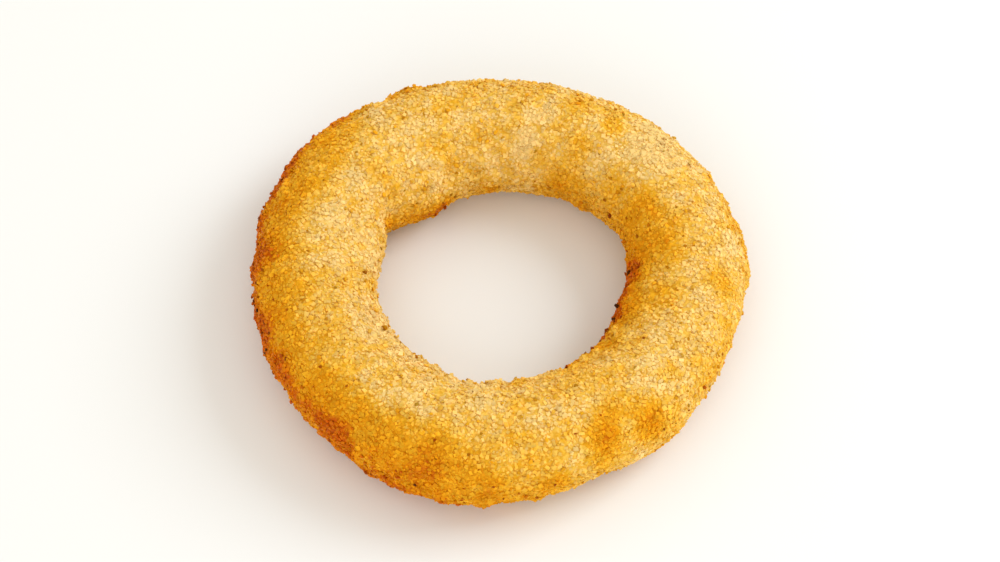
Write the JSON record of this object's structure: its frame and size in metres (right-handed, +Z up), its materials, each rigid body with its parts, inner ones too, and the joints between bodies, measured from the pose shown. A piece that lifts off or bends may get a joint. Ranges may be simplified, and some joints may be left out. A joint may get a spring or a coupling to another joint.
{
  "type": "onion ring",
  "caption": "Fried onion ring in a fine golden crumb coat: a rounded ring with a hole right through, lying flat on a slightly pressed underside.",
  "frame": {"origin": "middle of the ring's footprint, on the surface that it lies on", "axes": "+Z up, out of the ring's plane; +X to the right and +Y away from someone who looks at the ring from the front"},
  "size_m": [0.0704, 0.0702, 0.0154],
  "materials": {
    "crumb_crust": "matte"
  },
  "bodies": {
    "root": {"onion_ring": "crumb_crust"}
  },
  "joints": []
}
